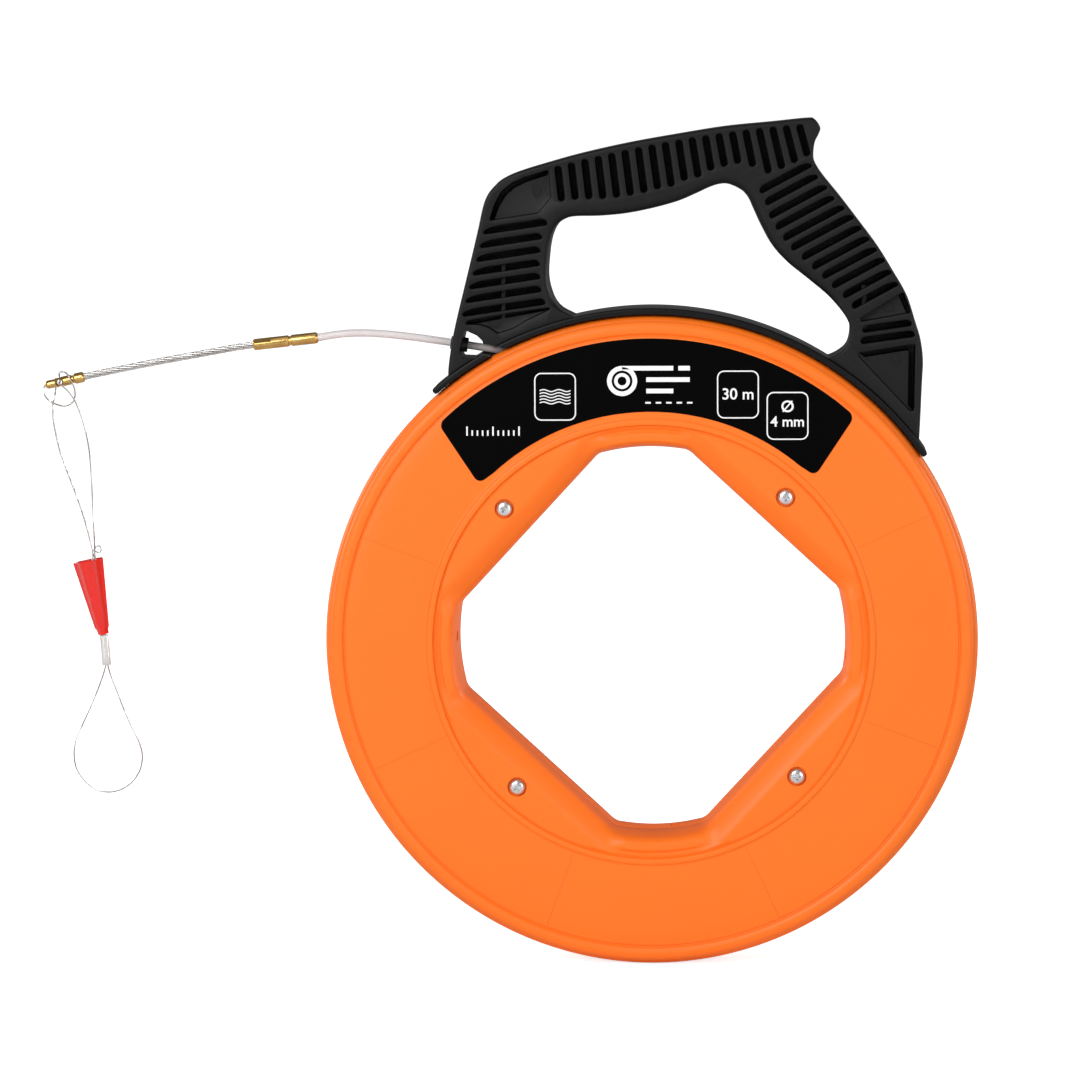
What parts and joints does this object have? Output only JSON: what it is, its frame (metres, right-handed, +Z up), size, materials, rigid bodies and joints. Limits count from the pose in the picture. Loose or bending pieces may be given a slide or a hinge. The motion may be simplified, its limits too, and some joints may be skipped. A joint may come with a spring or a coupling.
{
  "type": "fish tape reel",
  "caption": "Hand-held fish tape reel: a round case that turns in its handle's rim band, with a tape, a brass and steel leader and a pulling lanyard.",
  "frame": {"origin": "middle of the grip bar, halfway through its depth", "axes": "+Z up, from the case towards the grip; +Y along the case's axis, away from the front face with the label; the tape leaves towards -X"},
  "size_m": [0.4896, 0.0464, 0.4444],
  "materials": {
    "orange_plastic": "satin moulded",
    "black_plastic": "fine moulded texture",
    "band_plastic": "semi-gloss",
    "label_print": "printed film",
    "glass_fibre": "translucent",
    "brass": "turned",
    "wire_steel": "stranded",
    "screw_steel": "zinc plated",
    "ferrule_metal": "pressed",
    "red_plastic": "glossy moulded",
    "bush_plastic": "smooth"
  },
  "bodies": {
    "handle": {"handle": "black_plastic", "rim_band": "band_plastic", "band_screws": "screw_steel", "tape_guide": "bush_plastic"},
    "case": {"front_shell": "orange_plastic", "rear_shell": "orange_plastic", "case_screws": "screw_steel", "front_label": "label_print", "tape_coil": "glass_fibre", "tape_anchor": "screw_steel", "anchor_screw": "screw_steel"},
    "tape": {"tape_lead": "glass_fibre", "tape_rod": "glass_fibre", "rod_connector": "brass", "leader_connector": "brass", "leader_rope": "wire_steel", "tip_sleeve": "brass", "eye_tip": "brass"},
    "lanyard": {"lanyard_wire": "wire_steel", "crimp_ferrule": "ferrule_metal", "lanyard_loop": "wire_steel"},
    "cone": {"pull_cone": "red_plastic"}
  },
  "joints": [
    {"name": "case_spin", "type": "hinge", "parent": "handle", "child": "case", "pos_m": [-0.005, 0, -0.245], "axis": [0, 1, 0], "continuous": true},
    {"name": "tape_pull", "type": "slide", "parent": "handle", "child": "tape", "axis": [-0.9882, 0, 0.153], "range_m": [0, 0.05]},
    {"name": "lanyard_swing", "type": "hinge", "parent": "tape", "child": "lanyard", "pos_m": [-0.31519, 0, -0.11009], "axis": [0, 1, 0], "range_deg": [-25, 12]},
    {"name": "cone_slide", "type": "slide", "parent": "lanyard", "child": "cone", "axis": [-0.1122, 0, 0.9937], "range_m": [0, 0.02]}
  ]
}
